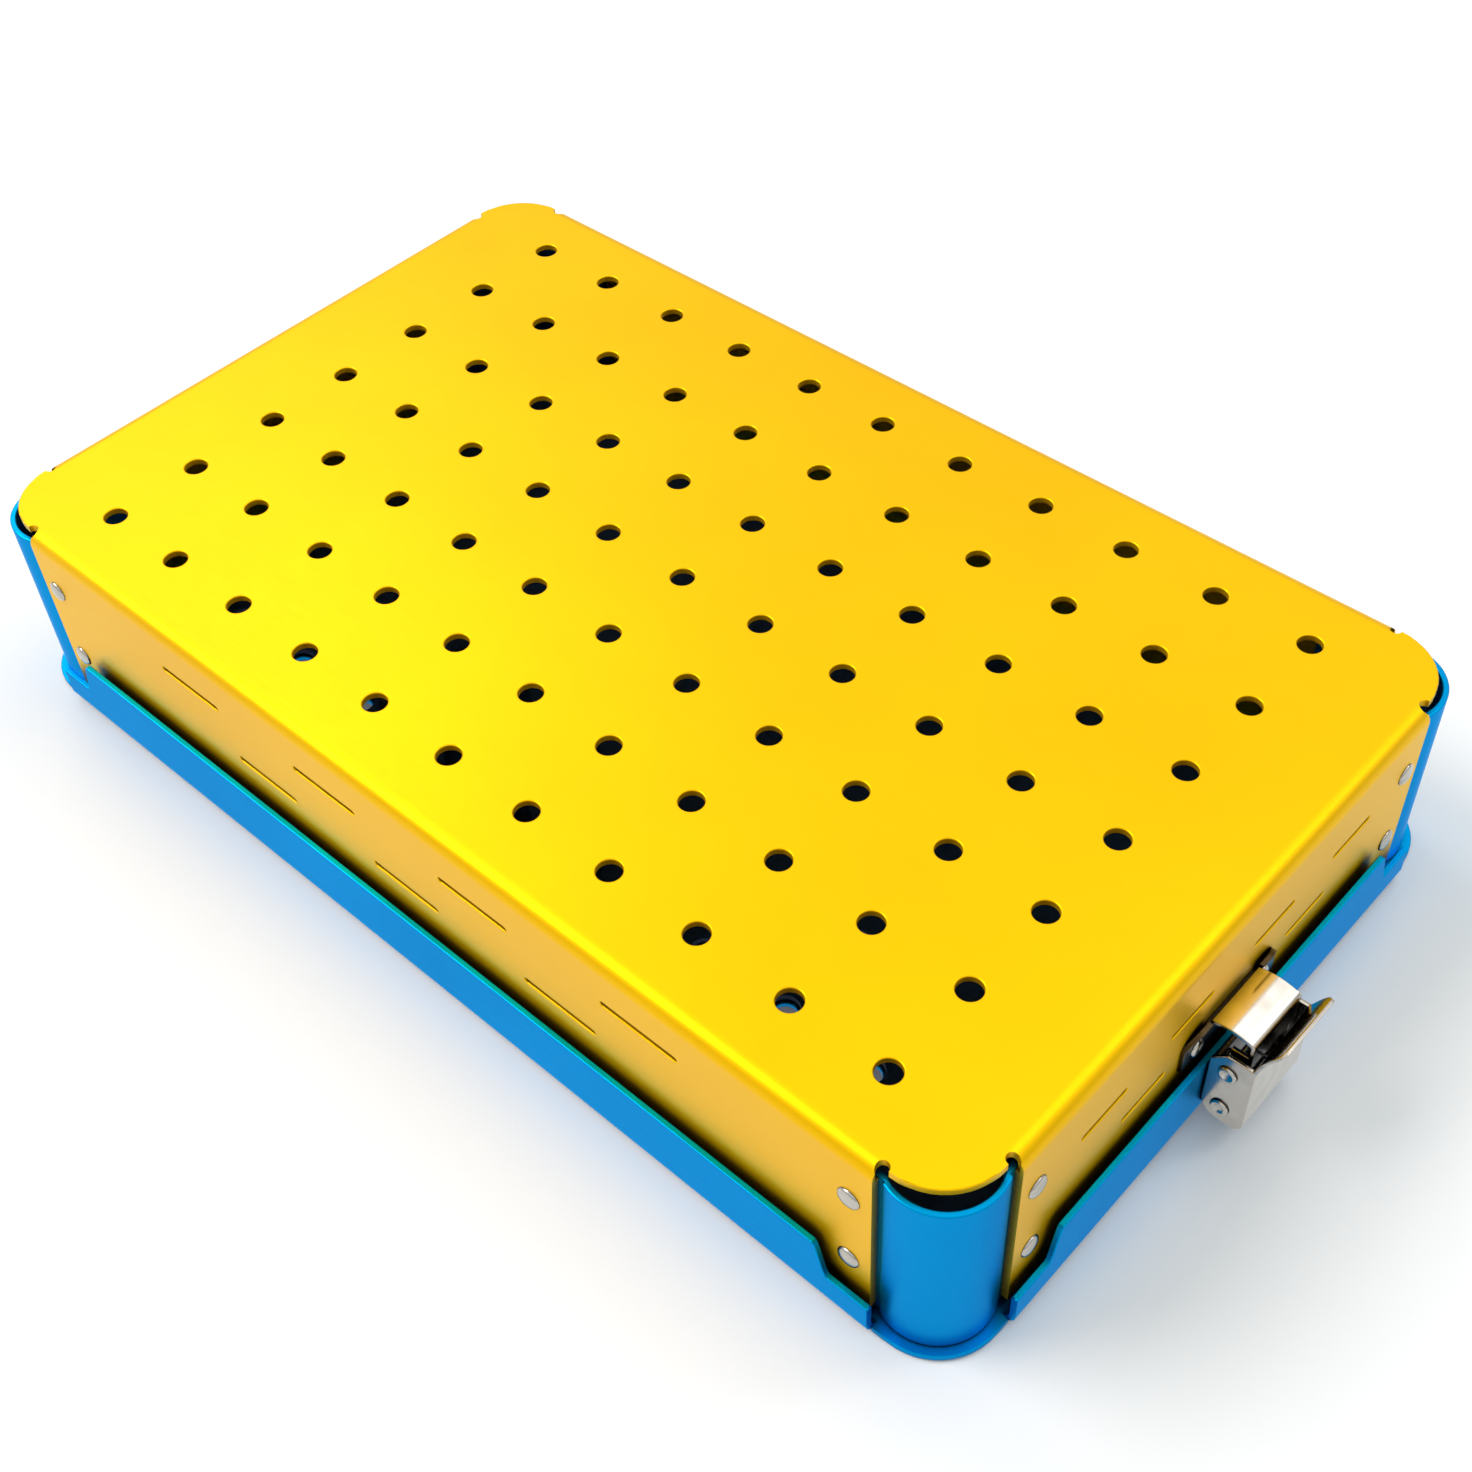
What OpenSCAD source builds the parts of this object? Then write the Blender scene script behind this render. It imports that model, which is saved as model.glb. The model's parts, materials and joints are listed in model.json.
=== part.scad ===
// Sterilisation cassette for small dental instruments: a perforated, folded
// sheet lid with riveted corner pieces, a shallow folded tray with a silicone
// finger mat, and a stainless spring latch on each short end.
// Units are millimetres. The origin is the centre of the tray's underside,
// X runs along the long side, Y across it and Z up.

/* [Lid] */
// Length over the lid's two short walls
case_l = 250; // [230:5:300]
// Width over the lid's two long walls
case_w = 150; // [140:5:190]
// Height of the closed cassette, floor to top plate
case_h = 46; // [45:1:60]
// Thickness of the lid's aluminium sheet
lid_t = 1.5; // [1:0.1:1.8]
// Outside radius of the folds between top plate and walls
fold_r = 3.2; // [2:0.1:4]
// Gap from each lid wall's end to the corner piece beside it
groove_w = 0.9; // [0.6:0.1:1.6]
// Height of the lid walls' lower edge above the floor
wall_foot = 3; // [2.6:0.1:5]
// Radius of the round relief at each end of a fold
relief_r = 1.2; // [0.6:0.1:1.4]
// Radius of the top plate's round corners
plate_r = 12.2; // [10:0.1:14]
// How far the top plate's edge beyond the folds stands inside the walls
plate_inset = 1.7; // [1.5:0.1:2.5]

/* [Perforations] */
// Diameter of the round holes in the top plate and the tray
hole_d = 4.8; // [3:0.1:7]
// Distance from the lid's short ends to the first holes
hole_margin_x = 25; // [22:0.5:30]
// Distance from the lid's long sides to the first holes
hole_margin_y = 15; // [14:0.5:20]
// Holes along the long side
hole_cols = 11; // [7:2:11]
// Holes along the short side
hole_rows = 7; // [3:2:7]

/* [Vent slots] */
// Height of each slot
slot_h = 1.3; // [0.8:0.1:2]
// Length of a slot in a long wall
slot_long = 17.4; // [12:0.2:19]
// Spacing of the slots in a long wall
slot_long_pitch = 20; // [19.5:0.5:22]
// Length of a slot in a short wall
slot_short = 12.3; // [8:0.1:12.5]
// Spacing of the slots in a short wall
slot_short_pitch = 12.3; // [10:0.1:13]
// Depth of the upper slot row below the top plate, long walls
slot_long_drop = 11.3; // [9:0.1:13]
// Distance between the two slot rows, long walls
slot_long_rows = 11.6; // [8:0.1:13]
// Depth of the upper slot row below the top plate, short walls
slot_short_drop = 14; // [10:0.1:14.5]
// Distance between the two slot rows, short walls
slot_short_rows = 9.7; // [8:0.1:11]

/* [Corner pieces] */
// Outside radius of the rounded corner pieces
corner_r = 10.5; // [10:0.1:12]
// Angle by which each corner's arc runs on towards the lid wall
corner_wrap = 23; // [12:1:26]
// Thickness of the corner pieces
corner_t = 1.2; // [0.8:0.1:1.5]
// How far the corner pieces stand back from the lid walls' faces
corner_back = 0.3; // [0:0.1:0.6]
// Length of each flange that lies behind a lid wall
flange_l = 14; // [12:0.5:18]
// Gap between the top plate's face and a corner piece's rim
rim_drop = 3.2; // [2:0.1:4]
// Clear height between a corner piece's foot and the tray
corner_lift = 0.1; // [0.05:0.05:0.5]

/* [Lid rivets] */
// Shank diameter
rivet_d = 2.5; // [2:0.1:3]
// Head diameter
rivet_head_d = 4.4; // [4:0.1:5]
// Head height
rivet_head_h = 0.8; // [0.5:0.1:0.9]
// Distance from the rivet line to the end of the lid wall
rivet_inset = 4.5; // [3.5:0.1:6]
// Depth of the upper rivets below the top plate
rivet_drop = 12.7; // [10:0.1:14]
// Height of the lower rivets above the low ends of the upstands
rivet_lift = 6.3; // [4:0.1:7]

/* [Tray] */
// Thickness of the tray's aluminium sheet
tray_t = 1.2; // [0.8:0.1:1.5]
// Gap between a lid wall and the tray's upstand
tray_gap = 1.6; // [1.5:0.1:2.5]
// Outside radius of the tray's bends
tray_fold_r = 3; // [1.8:0.1:4]
// Height of the upstands above the floor
upstand_h = 16.8; // [15:0.1:17]
// Height of the upstands beside the corners
upstand_low_h = 8.6; // [6:0.1:11]
// Length of the curved step between the two heights
step_l = 3.2; // [2:0.1:7]
// Length of the low end beyond the step
step_end = 8.4; // [4:0.1:10]
// How far the upstands reach past the ends of the lid walls
up_over = 1.6; // [1:0.1:2]
// Radius of the tray's round corners
tray_r = 12.6; // [11:0.1:13.5]
// How far the tray's round corners stand inside its upstands
tray_inset = 1.2; // [0.5:0.1:1.6]

/* [Silicone mat] */
// Thickness of the mat's sheet
mat_t = 2; // [1.5:0.1:3]
// Clear distance from the mat's edge to the corner pieces' flanges
mat_gap = 6; // [5:0.5:10]
// Corner radius of the mat
mat_r = 6; // [3:0.5:10]
// Distance from the mat's ends to the first fingers
finger_margin = 6.3; // [5:0.1:9]
// Height of the fingers above the mat
finger_h = 8; // [4:0.5:9]
// Diameter of a finger at its foot
finger_d = 4; // [3:0.1:5]
// Diameter of the steam holes in the mat
mat_hole_d = 6; // [5:0.1:8]

/* [Latches] */
// Width over the lever's cheeks
lever_w = 18; // [17.5:0.1:22]
// Distance from the lid wall to the lever's outer face
lever_out = 11.4; // [11.2:0.1:12.5]
// Thickness of the latch sheet
latch_t = 0.8; // [0.6:0.05:0.9]
// Height of the lever's lower edge above the floor
lever_foot = 3.8; // [3.6:0.1:4.2]
// Height of the cheeks' top edge above the floor
cheek_top = 22; // [21:0.1:22.5]
// Height of the finger tab's edge above the floor
tab_top = 29; // [27:0.1:31]
// How far the finger tab flares outwards
tab_flare = 3.8; // [3:0.1:4.5]
// Height of the hook plate's top above the floor
hook_top = 26.6; // [26.4:0.1:27.5]
// Width of the hook plate
hook_w = 14.4; // [13.6:0.1:14.6]
// Clear distance between the hook's nose and the keeper
nose_gap = 0.3; // [0.25:0.05:0.6]
// Distance from the upstand to the pins' centre line
pin_out = 4; // [3.8:0.1:4.2]
// Diameter of the two pins
pin_d = 2; // [1.6:0.1:2.2]
// Diameter of the pins' heads
pin_head_d = 3.6; // [3:0.1:4]
// Height of the pins' heads
pin_head_h = 0.6; // [0.4:0.1:0.8]
// Distance between the two pins
pin_rows = 10; // [9.6:0.1:10.2]
// Width over the keeper's ears
keeper_w = 28; // [26:0.1:30]
// How far the keeper's ears curl outwards
ear_out = 1.4; // [1.2:0.1:1.6]

/* [Hidden] */
$fn = 96;
hx = case_l / 2;
hy = case_w / 2;
// Fit of a piece inside the bend beside it
eps = 0.01;

// Distances between the holes of the grid
pitch_x = (case_l - 2 * hole_margin_x) / (hole_cols - 1);
pitch_y = (case_w - 2 * hole_margin_y) / (hole_rows - 1);

// Corner pieces: arc centres and the ends of the arcs
corner_x = hx - corner_back - corner_r;
corner_y = hy - corner_back - corner_r;
arc_x = corner_x - corner_r * sin(corner_wrap);
arc_y = corner_y - corner_r * sin(corner_wrap);
rim_z = case_h - rim_drop;
// The flanges end below the folds
flange_top = min(rim_z, case_h - fold_r);
// The lid walls end one groove before the arcs
wall_x = arc_x - groove_w;
wall_y = arc_y - groove_w;
// Edge of the top plate beyond the folds
plate_x = hx - plate_inset;
plate_y = hy - plate_inset;

// Tray: faces and ends of the upstands
tray_x = hx + tray_gap + tray_t;
tray_y = hy + tray_gap + tray_t;
up_x = wall_x + up_over;
up_y = wall_y + up_over;

// Mat: half sizes and the distance between its finger columns
mat_x = hx - lid_t - corner_t - mat_gap;
mat_y = hy - lid_t - corner_t - mat_gap;
finger_pitch = 2 * (mat_x - finger_margin) / hole_cols;

// Lid rivets
rivet_x = wall_x - rivet_inset;
rivet_y = wall_y - rivet_inset;
rivet_top = case_h - rivet_drop;
rivet_low = upstand_low_h + rivet_lift;
rivet_tail_d = rivet_d + 1.1;
rivet_tail_h = 0.5;

// Latch stations, measured on the short end at +X
up_face = tray_x;
pin_x = up_face + pin_out;
// Clear distance between the lever's cheeks and the upstand
lever_gap = 0.3;
cheek_r = pin_out - lever_gap;
lever_pin_z = lever_foot + cheek_r;
hook_pin_z = lever_pin_z + pin_rows;
cheek_y = lever_w / 2;
cheek_in = cheek_y - latch_t;
front_x = hx + lever_out;
front_in = front_x - latch_t;
brk_y = cheek_in - 0.2;
hook_y = hook_w / 2;
keeper_t = latch_t;
keeper_top = hook_top - 0.6;
keeper_foot = upstand_h + 0.7;
// The keeper's edge between its ears lies this far below their tips
keeper_dip = 2;
nose_x = hx + keeper_t + nose_gap;
web_x = front_in - 1.0;
ear_y = hook_y + 0.5;

gold = [0.96, 0.78, 0.10];
blue = [0.05, 0.50, 0.78];
steel = [0.80, 0.80, 0.79];
rivet_grey = [0.74, 0.75, 0.76];
silicone = [0.35, 0.62, 0.86];

// Rounded outline with true arcs, half sizes x and y and corner radius r
module rounded(x, y, r) {
    square([2 * x, 2 * (y - r)], center = true);
    square([2 * (x - r), 2 * y], center = true);
    for (sx = [-1, 1])
        for (sy = [-1, 1])
            translate([sx * (x - r), sy * (y - r)])
                circle(r = r);
}

// Section of a wall with its bend, drawn in X and Y as distance and height:
// outer face at x = face, bend of outer radius r at the level "level" and
// free edge at "edge"; up = 1 bends upwards from the plate, -1 downwards
module fold_section(face, t, r, level, edge, up) {
    translate([face - r, level + up * r])
        intersection() {
            difference() {
                circle(r = r);
                circle(r = r - t);
            }
            translate([0, up > 0 ? -r : 0])
                square([r, r]);
        }
    translate([face - t, min(edge, level + up * r)])
        square([t, abs(edge - level - up * r)]);
}

// Wall along X (side = 1 back, -1 front) of half length l
module long_wall(l, face, t, r, level, edge, up, side) {
    mirror([0, side < 0 ? 1 : 0, 0])
        translate([-l, 0, 0])
            rotate([90, 0, 90])
                linear_extrude(height = 2 * l)
                    fold_section(face, t, r, level, edge, up);
}

// Wall along Y (side = 1 right, -1 left) of half length l
module short_wall(l, face, t, r, level, edge, up, side) {
    mirror([side < 0 ? 1 : 0, 0, 0])
        translate([0, l, 0])
            rotate([90, 0, 0])
                linear_extrude(height = 2 * l)
                    fold_section(face, t, r, level, edge, up);
}

// Grid of round holes through a plate from z0 upwards
module hole_grid(d, z0, h) {
    for (i = [0 : hole_cols - 1])
        for (j = [0 : hole_rows - 1])
            translate([(i - (hole_cols - 1) / 2) * pitch_x,
                       (j - (hole_rows - 1) / 2) * pitch_y, z0])
                cylinder(d = d, h = h, $fn = 48);
}

// A slot with round ends, long in X, cut along Y
module slot(l) {
    rotate([90, 0, 0])
        linear_extrude(height = 20, center = true) {
            square([l - slot_h, slot_h], center = true);
            for (s = [-1, 1])
                translate([s * (l - slot_h) / 2, 0])
                    circle(d = slot_h, $fn = 24);
        }
}

// Staggered slots of the four walls
module wall_slots() {
    for (side = [-1, 1]) {
        for (i = [-1.5, -0.5, 0.5, 1.5])
            translate([2 * i * slot_long_pitch, side * hy, case_h - slot_long_drop])
                slot(slot_long);
        for (i = [-1, 0, 1])
            translate([2 * i * slot_long_pitch, side * hy,
                       case_h - slot_long_drop - slot_long_rows])
                slot(slot_long);
        for (i = [-1.5, -0.5, 0.5, 1.5])
            translate([side * hx, 2 * i * slot_short_pitch, case_h - slot_short_drop])
                rotate([0, 0, 90])
                    slot(slot_short);
        for (i = [-1, 1])
            translate([side * hx, 2 * i * slot_short_pitch,
                       case_h - slot_short_drop - slot_short_rows])
                rotate([0, 0, 90])
                    slot(slot_short);
    }
}

// Places a child at each lid rivet, its Z axis pointing out of the wall
module at_lid_rivets() {
    for (z = [rivet_low, rivet_top]) {
        for (sx = [-1, 1])
            for (sy = [-1, 1]) {
                translate([sx * rivet_x, sy * hy, z])
                    rotate([-90 * sy, 0, 0])
                        children();
                translate([sx * hx, sy * rivet_y, z])
                    rotate([0, 90 * sx, 0])
                        children();
            }
    }
}

// Places a child at the two rivets of a keeper on the +X end
module at_keeper_rivets() {
    for (s = [-1, 1])
        translate([hx, s * (ear_y + 2.3), keeper_foot + 3.2])
            rotate([0, 90, 0])
                children();
}

// Places a child at the two rivets of a bracket on the +X end
module at_bracket_rivets() {
    for (s = [-1, 1])
        translate([up_face, s * brk_y / 2, upstand_h - 3.2])
            rotate([0, 90, 0])
                children();
}

// Plan of the round bend reliefs at the ends of the folds, on the plate's edge
module fold_reliefs() {
    for (sx = [-1, 1])
        for (sy = [-1, 1]) {
            translate([sx * (wall_x + 0.45 * relief_r), sy * plate_y])
                circle(r = relief_r, $fn = 32);
            translate([sx * plate_x, sy * (wall_y + 0.45 * relief_r)])
                circle(r = relief_r, $fn = 32);
        }
}

// Folded, perforated lid: one sheet with four walls
module lid_shell() {
    color(gold)
        difference() {
            union() {
                translate([0, 0, case_h - lid_t])
                    linear_extrude(height = lid_t)
                        difference() {
                            rounded(plate_x, plate_y, plate_r);
                            for (s = [-1, 1]) {
                                translate([0, s * (hy - fold_r + corner_r)])
                                    square([2 * wall_x, 2 * corner_r], center = true);
                                translate([s * (hx - fold_r + corner_r), 0])
                                    square([2 * corner_r, 2 * wall_y], center = true);
                            }
                            fold_reliefs();
                        }
                difference() {
                    for (s = [-1, 1]) {
                        long_wall(wall_x, hy, lid_t, fold_r, case_h, wall_foot, -1, s);
                        short_wall(wall_y, hx, lid_t, fold_r, case_h, wall_foot, -1, s);
                    }
                    translate([0, 0, case_h - 1.15 * fold_r])
                        linear_extrude(height = 2 * fold_r)
                            fold_reliefs();
                }
            }
            hole_grid(hole_d, case_h - lid_t - 1, lid_t + 2);
            wall_slots();
            at_lid_rivets()
                translate([0, 0, -5])
                    cylinder(d = rivet_d, h = 10, $fn = 32);
            at_keeper_rivets()
                translate([0, 0, -5])
                    cylinder(d = 2.2, h = 10, $fn = 32);
            mirror([1, 0, 0])
                at_keeper_rivets()
                    translate([0, 0, -5])
                        cylinder(d = 2.2, h = 10, $fn = 32);
        }
}

// Plan of the arc of the corner piece at +X, +Y: more than a quarter circle,
// so that its ends turn in behind the faces of the lid's walls
module corner_arc() {
    w = corner_wrap;
    far = 2 * corner_r;
    translate([corner_x, corner_y])
        intersection() {
            difference() {
                circle(r = corner_r);
                circle(r = corner_r - corner_t);
            }
            polygon([[0, 0], [far * cos(w), -far * sin(w)], [far, far],
                     [-far * sin(w), far * cos(w)]]);
        }
}

// Plan of the two flanges behind the lid's walls, which run into the arc's ends
module corner_flanges() {
    flange_y = hy - lid_t - corner_t;
    flange_x = hx - lid_t - corner_t;
    lap = corner_t * sin(corner_wrap);
    translate([arc_x - flange_l, flange_y])
        square([flange_l + lap, corner_t]);
    translate([flange_x, arc_y - flange_l])
        square([corner_t, flange_l + lap]);
}

// Corner piece at +X, +Y, with its four rivet holes
module corner_piece() {
    foot = tray_t + corner_lift;
    difference() {
        union() {
            translate([0, 0, foot])
                linear_extrude(height = rim_z - foot)
                    corner_arc();
            translate([0, 0, foot])
                linear_extrude(height = flange_top - foot)
                    corner_flanges();
        }
        at_lid_rivets()
            translate([0, 0, -8])
                cylinder(d = rivet_d, h = 12, $fn = 32);
    }
}

module corner_back_right() {
    color(blue)
        corner_piece();
}

module corner_back_left() {
    color(blue)
        mirror([1, 0, 0])
            corner_piece();
}

module corner_front_right() {
    color(blue)
        mirror([0, 1, 0])
            corner_piece();
}

module corner_front_left() {
    color(blue)
        mirror([1, 0, 0])
            mirror([0, 1, 0])
                corner_piece();
}

// Rivet through walls of total thickness grip, standing on z = 0
module rivet(d, head_d, head_h, grip, tail_d, tail_h) {
    cylinder(d1 = head_d, d2 = head_d * 0.72, h = head_h, $fn = 48);
    translate([0, 0, -grip])
        cylinder(d = d, h = grip, $fn = 32);
    translate([0, 0, -grip - tail_h])
        cylinder(d = tail_d, h = tail_h, $fn = 32);
}

// The sixteen rivets that join the lid and its corner pieces
module lid_rivets() {
    color(rivet_grey)
        at_lid_rivets()
            rivet(rivet_d, rivet_head_d, rivet_head_h, lid_t + corner_t,
                  rivet_tail_d, rivet_tail_h);
}

// Silhouette of the keeper in Y and Z: ears with round shoulders and, between
// them, a lower edge under the hook plate's shelf
module keeper_shape() {
    w = keeper_w / 2;
    h = keeper_top - keeper_foot;
    r = 4;
    difference() {
        union() {
            translate([-w, 0])
                square([keeper_w, h - r]);
            translate([-(w - r), 0])
                square([keeper_w - 2 * r, h]);
            for (s = [-1, 1])
                translate([s * (w - r), h - r])
                    circle(r = r);
        }
        translate([-ear_y, h - keeper_dip])
            square([2 * ear_y, 2 * keeper_dip]);
    }
}

// Keeper on the +X end: a plate on the lid wall with two curled ears
module keeper_part() {
    w = keeper_w / 2;
    difference() {
        intersection() {
            translate([hx, 0, keeper_foot])
                rotate([90, 0, 90])
                    linear_extrude(height = lever_out)
                        keeper_shape();
            union() {
                translate([hx, -w, keeper_foot])
                    cube([keeper_t, keeper_w, keeper_top]);
                // Ears curl outwards above the rivets, on both sides of the hook
                for (s = [-1, 1])
                    translate([hx, s * (ear_y + (w - ear_y) / 2), keeper_foot + 5.6])
                        rotate([90, 0, 0])
                            linear_extrude(height = w - ear_y, center = true)
                                polygon([[0, 0], [keeper_t, 0],
                                         [keeper_t + ear_out * 0.25, 1.2],
                                         [keeper_t + ear_out * 0.62, 2.4],
                                         [keeper_t + ear_out, 3.4],
                                         [keeper_t + ear_out, keeper_top],
                                         [ear_out, keeper_top], [ear_out, 3.8],
                                         [ear_out * 0.55, 2.7],
                                         [ear_out * 0.2, 1.6]]);
            }
        }
        // The ears leave the wall: the flat plate is cut away behind their curl
        for (s = [-1, 1])
            translate([hx - 1, s * (ear_y + (w - ear_y) / 2), keeper_foot + 5.6])
                rotate([90, 0, 0])
                    linear_extrude(height = w - ear_y + eps, center = true)
                        polygon([[0, 1.0], [1, 1.0], [1 + ear_out * 0.2, 1.6],
                                 [1 + ear_out * 0.55, 2.7], [1 + ear_out, 3.8],
                                 [1 + ear_out, keeper_top], [0, keeper_top]]);
        at_keeper_rivets()
            translate([0, 0, -5])
                cylinder(d = 2.2, h = 10, $fn = 32);
    }
}

// The two rivets of a keeper
module keeper_rivet_part() {
    at_keeper_rivets()
        translate([0, 0, keeper_t])
            rivet(2.2, 3.6, 0.7, lid_t + keeper_t, 3.4, 0.5);
}

module keeper_right() {
    color(steel)
        keeper_part();
}

module keeper_rivets_right() {
    color(rivet_grey)
        keeper_rivet_part();
}

module keeper_left() {
    color(steel)
        mirror([1, 0, 0])
            keeper_part();
}

module keeper_rivets_left() {
    color(rivet_grey)
        mirror([1, 0, 0])
            keeper_rivet_part();
}

// Elevation of an upstand of half length l: full height in the middle, an
// S-shaped step down to a low end beside each corner
module upstand_shape(l) {
    drop = upstand_h - upstand_low_h;
    run = l - step_end;
    steps = 12;
    right = [for (i = [0 : steps])
        [run - step_l + step_l * i / steps,
         upstand_h - drop * (1 - cos(180 * i / steps)) / 2]];
    left = [for (i = [0 : steps]) [-right[steps - i][0], right[steps - i][1]]];
    polygon(concat([[-l, -1], [-l, upstand_low_h]], left, right,
                   [[l, upstand_low_h], [l, -1]]));
}

// Folded tray: perforated floor and four low upstands
module base_tray() {
    color(blue)
        difference() {
            union() {
                linear_extrude(height = tray_t)
                    difference() {
                        rounded(tray_x - tray_inset, tray_y - tray_inset, tray_r);
                        for (s = [-1, 1]) {
                            translate([0, s * (tray_y - tray_fold_r + corner_r)])
                                square([2 * up_x, 2 * corner_r], center = true);
                            translate([s * (tray_x - tray_fold_r + corner_r), 0])
                                square([2 * corner_r, 2 * up_y], center = true);
                        }
                    }
                for (s = [-1, 1]) {
                    intersection() {
                        long_wall(up_x, tray_y, tray_t, tray_fold_r, 0, upstand_h, 1, s);
                        rotate([90, 0, 0])
                            linear_extrude(height = 2 * tray_y + 10, center = true)
                                upstand_shape(up_x);
                    }
                    intersection() {
                        short_wall(up_y, tray_x, tray_t, tray_fold_r, 0, upstand_h, 1, s);
                        rotate([90, 0, 90])
                            linear_extrude(height = 2 * tray_x + 10, center = true)
                                upstand_shape(up_y);
                    }
                }
            }
            hole_grid(hole_d, -1, tray_t + 2);
            for (m = [0, 1])
                mirror([m, 0, 0])
                    at_bracket_rivets()
                        translate([0, 0, -8])
                            cylinder(d = 2.2, h = 12, $fn = 32);
        }
}

// Silicone finger mat that lies on the tray's floor
module silicone_mat() {
    color(silicone)
        translate([0, 0, tray_t]) {
            difference() {
                linear_extrude(height = mat_t)
                    rounded(mat_x, mat_y, mat_r);
                hole_grid(mat_hole_d, -1, mat_t + 2);
            }
            for (i = [0 : hole_cols])
                for (j = [0 : hole_rows - 1])
                    translate([(i - hole_cols / 2) * finger_pitch,
                               (j - (hole_rows - 1) / 2) * pitch_y, mat_t - 0.5])
                        cylinder(d1 = finger_d, d2 = finger_d * 0.7,
                                 h = finger_h + 0.5, $fn = 32);
        }
}

// Bracket on the tray's upstand at +X, with two cheeks for the lever's pin
module bracket_part() {
    low = lever_foot + 0.4;
    difference() {
        union() {
            translate([up_face, -brk_y, low])
                cube([latch_t, 2 * brk_y, upstand_h - 0.6 - low]);
            for (s = [-1, 1])
                translate([0, s * (brk_y - latch_t / 2), 0])
                    rotate([90, 0, 0])
                        linear_extrude(height = latch_t, center = true) {
                            translate([pin_x, lever_pin_z])
                                circle(r = 2.4, $fn = 48);
                            translate([up_face, lever_pin_z - 2.4])
                                square([pin_out, 4.8]);
                        }
        }
        translate([pin_x, 0, lever_pin_z])
            rotate([90, 0, 0])
                cylinder(d = pin_d + 0.1, h = 30, center = true, $fn = 48);
        at_bracket_rivets()
            translate([0, 0, -8])
                cylinder(d = 2.2, h = 12, $fn = 32);
    }
}

// The two rivets that hold a bracket
module bracket_rivet_part() {
    at_bracket_rivets()
        translate([0, 0, latch_t])
            rivet(2.2, 4, 0.7, tray_t + latch_t, 3.4, 0.5);
}

// A headed pin through the lever's cheeks at height z
module latch_pin(z) {
    translate([pin_x, 0, z])
        rotate([90, 0, 0]) {
            cylinder(d = pin_d, h = 2 * cheek_y, center = true, $fn = 48);
            for (s = [-1, 1])
                rotate([s > 0 ? 0 : 180, 0, 0])
                    translate([0, 0, cheek_y])
                        difference() {
                            cylinder(d1 = pin_head_d, d2 = pin_head_d * 0.8,
                                     h = pin_head_h, $fn = 48);
                            translate([0, 0, pin_head_h * 0.4])
                                cylinder(d1 = pin_head_d * 0.3, d2 = pin_head_d * 0.5,
                                         h = pin_head_h, $fn = 48);
                        }
        }
}

// Side view of the lever's cheek in X and Z
module cheek_shape() {
    back = pin_x - cheek_r;
    r = cheek_r;
    translate([pin_x, lever_pin_z])
        circle(r = r);
    translate([pin_x, lever_foot + 2])
        square([front_x - pin_x, cheek_top - lever_foot - 2]);
    translate([pin_x, lever_foot])
        square([front_x - 2 - pin_x, 3]);
    translate([front_x - 2, lever_foot + 2])
        circle(r = 2, $fn = 48);
    polygon([[back, lever_pin_z], [pin_x + eps, lever_pin_z], [pin_x + eps, cheek_top],
             [pin_x - 0.8, cheek_top], [back, cheek_top - 3]]);
}

// Front view of the lever in Y and Z: straight sides, then a tab that
// narrows a little and has round shoulders
module lever_front_shape() {
    w = cheek_y;
    tw = cheek_y - 0.9;
    r = 1.6;
    polygon([[-w, lever_foot], [w, lever_foot], [w, cheek_top], [w - 0.4, cheek_top + 1],
             [tw, cheek_top + 2.2], [tw, tab_top - r], [-tw, tab_top - r],
             [-tw, cheek_top + 2.2], [-(w - 0.4), cheek_top + 1], [-w, cheek_top]]);
    translate([-(tw - r), tab_top - r - eps])
        square([2 * (tw - r), r + eps]);
    for (s = [-1, 1])
        translate([s * (tw - r), tab_top - r])
            circle(r = r, $fn = 48);
}

// Side view of the lever's front sheet and its flared tab in X and Z
module lever_sheet() {
    n = 8;
    h = tab_top - cheek_top + 1.5;
    z0 = cheek_top - 1.5;
    outer = [for (i = [0 : n])
        [front_x + tab_flare * pow(i / n, 1.6), z0 + h * i / n]];
    inner = [for (i = [0 : n])
        [front_in + tab_flare * pow((n - i) / n, 1.6), z0 + h * (n - i) / n]];
    polygon(concat([[front_in, lever_foot], [front_x, lever_foot]], outer, inner));
}

// Lever on the +X end: a channel with two cheeks and a finger tab
module lever_part() {
    difference() {
        union() {
            intersection() {
                rotate([90, 0, 0])
                    linear_extrude(height = lever_w, center = true)
                        lever_sheet();
                translate([hx, 0, 0])
                    rotate([90, 0, 90])
                        linear_extrude(height = 2 * lever_out)
                            lever_front_shape();
                rotate([90, 0, 0])
                    linear_extrude(height = lever_w + 2, center = true) {
                        cheek_shape();
                        translate([pin_x, lever_foot + 2])
                            square([2 * lever_out, tab_top]);
                    }
            }
            for (s = [-1, 1])
                translate([0, s * (cheek_y - latch_t / 2), 0])
                    rotate([90, 0, 0])
                        linear_extrude(height = latch_t, center = true)
                            cheek_shape();
        }
        for (z = [lever_pin_z, hook_pin_z])
            translate([pin_x, 0, z])
                rotate([90, 0, 0])
                    cylinder(d = pin_d, h = 30, center = true, $fn = 48);
    }
}

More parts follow.
